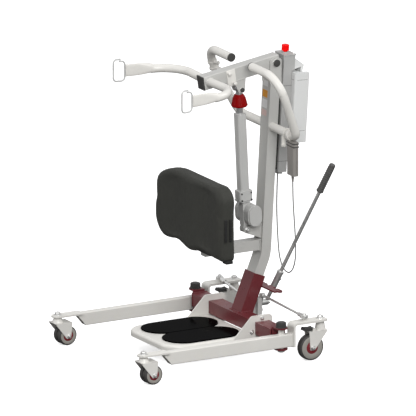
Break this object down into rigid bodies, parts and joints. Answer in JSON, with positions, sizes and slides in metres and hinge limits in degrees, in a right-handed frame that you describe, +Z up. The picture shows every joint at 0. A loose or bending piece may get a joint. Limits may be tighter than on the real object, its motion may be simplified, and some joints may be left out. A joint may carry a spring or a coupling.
{
  "type": "patient lift hoist",
  "caption": "Wheeled stand-up patient lift with spreading legs, electric boom, sling arms, padded knee rest, foot tray, push handle and hand control.",
  "frame": {"origin": "On the floor, under the middle of the lift's box.", "axes": "+Z is up. The patient stands on the -Y side and faces +Y. The attendant pushes from +Y. +X is the patient's right-hand side."},
  "size_m": [0.705, 0.9102, 1.1251],
  "materials": {
    "powder_white": "satin powder coat",
    "mast_grey": "satin powder coat",
    "light_grey_paint": "satin powder coat",
    "burgundy": "satin powder coat",
    "zinc_steel": "zinc plated",
    "chrome_rod": "polished",
    "dark_plastic": "moulded, fine grain",
    "pad_black": "glossy black rubber mat",
    "knee_vinyl": "dark wipe-clean vinyl",
    "box_grey": "moulded, fine grain",
    "battery_white": "moulded, fine grain",
    "handset_grey": "moulded, fine grain",
    "key_grey": "soft key",
    "stop_red": "glossy",
    "cup_red": "satin",
    "ram_grey": "satin",
    "tyre_grey": "non-marking tread",
    "hub_burgundy": "satin",
    "grip_grey": "soft grip",
    "cable_grey": "smooth jacket"
  },
  "bodies": {
    "base": {"cross_beam": "burgundy", "pivot_brackets": "burgundy", "pivot_bolts": "zinc_steel", "pivot_knobs": "dark_plastic", "foot_plate": "powder_white", "foot_pads": "pad_black", "mast": "mast_grey", "mast_socket": "burgundy", "spreader_mount": "light_grey_paint", "boom_pin": "zinc_steel", "ram_foot_pin": "zinc_steel", "box_rails": "dark_plastic", "control_box": "box_grey", "box_lid": "box_grey", "battery_pack": "battery_white", "battery_latch": "battery_white", "push_handle": "powder_white", "grip_caps": "dark_plastic", "strap_hooks": "powder_white", "handset": "handset_grey", "handset_cable": "cable_grey"},
    "boom": {"boom": "mast_grey", "boom_end_cap": "dark_plastic", "clevis_pins": "zinc_steel", "sling_arms": "powder_white", "sling_hooks": "powder_white"},
    "ram": {"ram_tube": "ram_grey", "ram_motor": "ram_grey"},
    "piston": {"piston_rod": "chrome_rod", "release_cup": "cup_red"},
    "stop_button": {"stop_button": "stop_red"},
    "button_up": {"button_up": "key_grey"},
    "button_down": {"button_down": "key_grey"},
    "knee_rest": {"knee_arm": "mast_grey", "knee_plate": "dark_plastic", "knee_pad": "knee_vinyl"},
    "spreader_lever": {"spreader_lever": "zinc_steel", "lever_grip": "grip_grey"},
    "leg_left": {"leg_left": "powder_white"},
    "front_caster_left": {"front_fork_left": "powder_white"},
    "front_wheel_left": {"front_tyres_left": "tyre_grey", "front_hubs_left": "hub_burgundy"},
    "rear_caster_left": {"rear_fork_left": "powder_white"},
    "rear_wheel_left": {"rear_tyre_left": "tyre_grey", "rear_hub_left": "hub_burgundy"},
    "brake_left": {"brake_pedal_left": "dark_plastic"},
    "tie_rod_left": {"tie_rod_left": "zinc_steel"},
    "leg_right": {"leg_right": "powder_white"},
    "front_caster_right": {"front_fork_right": "powder_white"},
    "front_wheel_right": {"front_tyres_right": "tyre_grey", "front_hubs_right": "hub_burgundy"},
    "rear_caster_right": {"rear_fork_right": "powder_white"},
    "rear_wheel_right": {"rear_tyre_right": "tyre_grey", "rear_hub_right": "hub_burgundy"},
    "brake_right": {"brake_pedal_right": "dark_plastic"},
    "tie_rod_right": {"tie_rod_right": "zinc_steel"}
  },
  "joints": [
    {"name": "boom_lift", "type": "hinge", "parent": "base", "child": "boom", "pos_m": [0, 0.2995, 1.068], "axis": [-1, 0, 0], "range_deg": [0, 40]},
    {"name": "ram_swing", "type": "hinge", "parent": "base", "child": "ram", "pos_m": [0, 0.1835, 0.44], "axis": [1, 0, 0], "range_deg": [0, 2.2]},
    {"name": "ram_extend", "type": "slide", "parent": "ram", "child": "piston", "axis": [0, -0.0479, 0.9989], "range_m": [0, 0.1135]},
    {"name": "knee_slide", "type": "slide", "parent": "base", "child": "knee_rest", "axis": [0, -1, 0], "range_m": [0, 0.05]},
    {"name": "leg_left_swing", "type": "hinge", "parent": "base", "child": "leg_left", "pos_m": [0.321, 0.1555, 0.09], "axis": [0, 0, 1], "range_deg": [0, 12]},
    {"name": "leg_right_swing", "type": "hinge", "parent": "base", "child": "leg_right", "pos_m": [-0.321, 0.1555, 0.09], "axis": [0, 0, -1], "range_deg": [0, 12]},
    {"name": "lever_swing", "type": "hinge", "parent": "base", "child": "spreader_lever", "pos_m": [0, 0.2695, 0.148], "axis": [0, -1, 0], "range_deg": [0, 40.2]},
    {"name": "tie_left_shift", "type": "slide", "parent": "base", "child": "tie_rod_left", "axis": [-1, 0, 0], "range_m": [0, 0.0212]},
    {"name": "tie_right_shift", "type": "slide", "parent": "base", "child": "tie_rod_right", "axis": [1, 0, 0], "range_m": [0, 0.0212]},
    {"name": "stop_press", "type": "slide", "parent": "base", "child": "stop_button", "axis": [0, -0.0593, -0.9982], "range_m": [0, 0.004], "stiffness_N_per_m": 800},
    {"name": "up_press", "type": "slide", "parent": "base", "child": "button_up", "axis": [0, -1, 0], "range_m": [0, 0.0015], "stiffness_N_per_m": 600},
    {"name": "down_press", "type": "slide", "parent": "base", "child": "button_down", "axis": [0, -1, 0], "range_m": [0, 0.0015], "stiffness_N_per_m": 600},
    {"name": "front_swivel_left", "type": "hinge", "parent": "leg_left", "child": "front_caster_left", "pos_m": [0.321, -0.4315, 0.1], "axis": [0, 0, 1], "continuous": true},
    {"name": "front_roll_left", "type": "hinge", "parent": "front_caster_left", "child": "front_wheel_left", "pos_m": [0.321, -0.3995, 0.0375], "axis": [1, 0, 0], "continuous": true},
    {"name": "rear_swivel_left", "type": "hinge", "parent": "leg_left", "child": "rear_caster_left", "pos_m": [0.321, 0.3215, 0.13], "axis": [0, 0, 1], "continuous": true},
    {"name": "rear_roll_left", "type": "hinge", "parent": "rear_caster_left", "child": "rear_wheel_left", "pos_m": [0.321, 0.2795, 0.05], "axis": [1, 0, 0], "continuous": true},
    {"name": "brake_press_left", "type": "hinge", "parent": "rear_caster_left", "child": "brake_left", "pos_m": [0.321, 0.2865, 0.1195], "axis": [1, 0, 0], "range_deg": [0, 6]},
    {"name": "front_swivel_right", "type": "hinge", "parent": "leg_right", "child": "front_caster_right", "pos_m": [-0.321, -0.4315, 0.1], "axis": [0, 0, 1], "continuous": true},
    {"name": "front_roll_right", "type": "hinge", "parent": "front_caster_right", "child": "front_wheel_right", "pos_m": [-0.321, -0.3995, 0.0375], "axis": [1, 0, 0], "continuous": true},
    {"name": "rear_swivel_right", "type": "hinge", "parent": "leg_right", "child": "rear_caster_right", "pos_m": [-0.321, 0.3215, 0.13], "axis": [0, 0, 1], "continuous": true},
    {"name": "rear_roll_right", "type": "hinge", "parent": "rear_caster_right", "child": "rear_wheel_right", "pos_m": [-0.321, 0.2795, 0.05], "axis": [1, 0, 0], "continuous": true},
    {"name": "brake_press_right", "type": "hinge", "parent": "rear_caster_right", "child": "brake_right", "pos_m": [-0.321, 0.2865, 0.1195], "axis": [1, 0, 0], "range_deg": [0, 6]}
  ],
  "couplings": [
    {"joint": "ram_swing", "follows": "boom_lift", "ratio": 0.0532},
    {"joint": "ram_extend", "follows": "boom_lift", "m_per_rad": 0.1613},
    {"joint": "leg_right_swing", "follows": "leg_left_swing", "ratio": 1},
    {"joint": "lever_swing", "follows": "leg_left_swing", "ratio": 3.3333},
    {"joint": "tie_left_shift", "follows": "leg_left_swing", "m_per_rad": 0.0998},
    {"joint": "tie_right_shift", "follows": "leg_left_swing", "m_per_rad": 0.0998}
  ]
}
